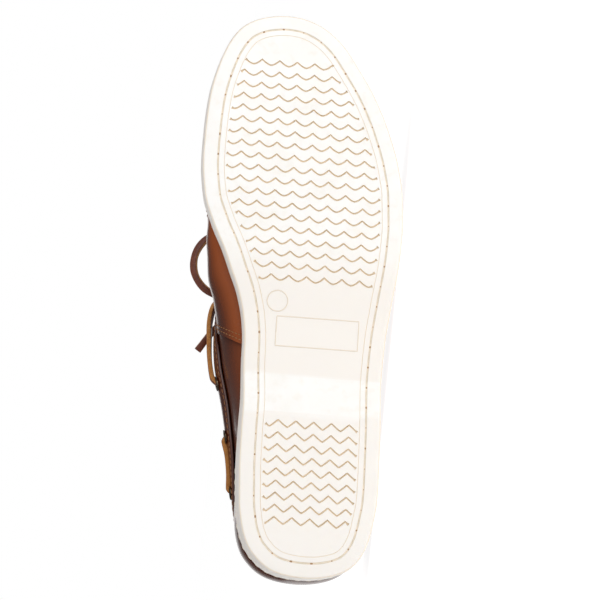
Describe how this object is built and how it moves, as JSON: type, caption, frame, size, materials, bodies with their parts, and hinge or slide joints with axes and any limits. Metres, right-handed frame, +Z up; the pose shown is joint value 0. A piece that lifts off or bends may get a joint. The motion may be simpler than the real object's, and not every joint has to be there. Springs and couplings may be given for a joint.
{
  "type": "boat shoe",
  "caption": "Left boat shoe in smooth brown leather with rawhide side lace and bow, on a white siped rubber sole, lying on its lateral side.",
  "frame": {"origin": "on the floor under the middle of the box that the shoe fills as it lies on its lateral side, free lace ends left out", "axes": "+X from heel to toe, +Z up from the floor to the medial side, the tread faces -Y"},
  "size_m": [0.2896, 0.096, 0.1071],
  "materials": {
    "sole_rubber": "off-white moulded rubber, satin, siped tread",
    "upper_leather": "smooth reddish-brown pull-up leather, soft gloss",
    "lining": "tan lining leather, matt",
    "rawhide_lace": "rawhide lace, golden tan with a dark reddish face",
    "eyelet_metal": "darkened antique brass"
  },
  "bodies": {
    "root": {"bow_knot": "rawhide_lace", "bow_loop_lateral": "rawhide_lace", "bow_loop_medial": "rawhide_lace", "collar_band": "upper_leather", "eyelet_heel_lateral": "eyelet_metal", "eyelet_heel_medial": "eyelet_metal", "eyelet_side_front_lateral": "eyelet_metal", "eyelet_side_front_medial": "eyelet_metal", "eyelet_side_middle_lateral": "eyelet_metal", "eyelet_side_middle_medial": "eyelet_metal", "eyelet_side_rear_lateral": "eyelet_metal", "eyelet_side_rear_medial": "eyelet_metal", "eyelet_throat_front_lateral": "eyelet_metal", "eyelet_throat_front_medial": "eyelet_metal", "eyelet_throat_rear_lateral": "eyelet_metal", "eyelet_throat_rear_medial": "eyelet_metal", "insole": "lining", "lace_bar_front": "rawhide_lace", "lace_bar_rear": "rawhide_lace", "lace_end_lateral": "rawhide_lace", "lace_end_medial": "rawhide_lace", "outsole": "sole_rubber", "side_lace_front_lateral": "rawhide_lace", "side_lace_front_medial": "rawhide_lace", "side_lace_rear_lateral": "rawhide_lace", "side_lace_rear_medial": "rawhide_lace", "tongue": "upper_leather", "upper": "upper_leather"}
  },
  "joints": []
}
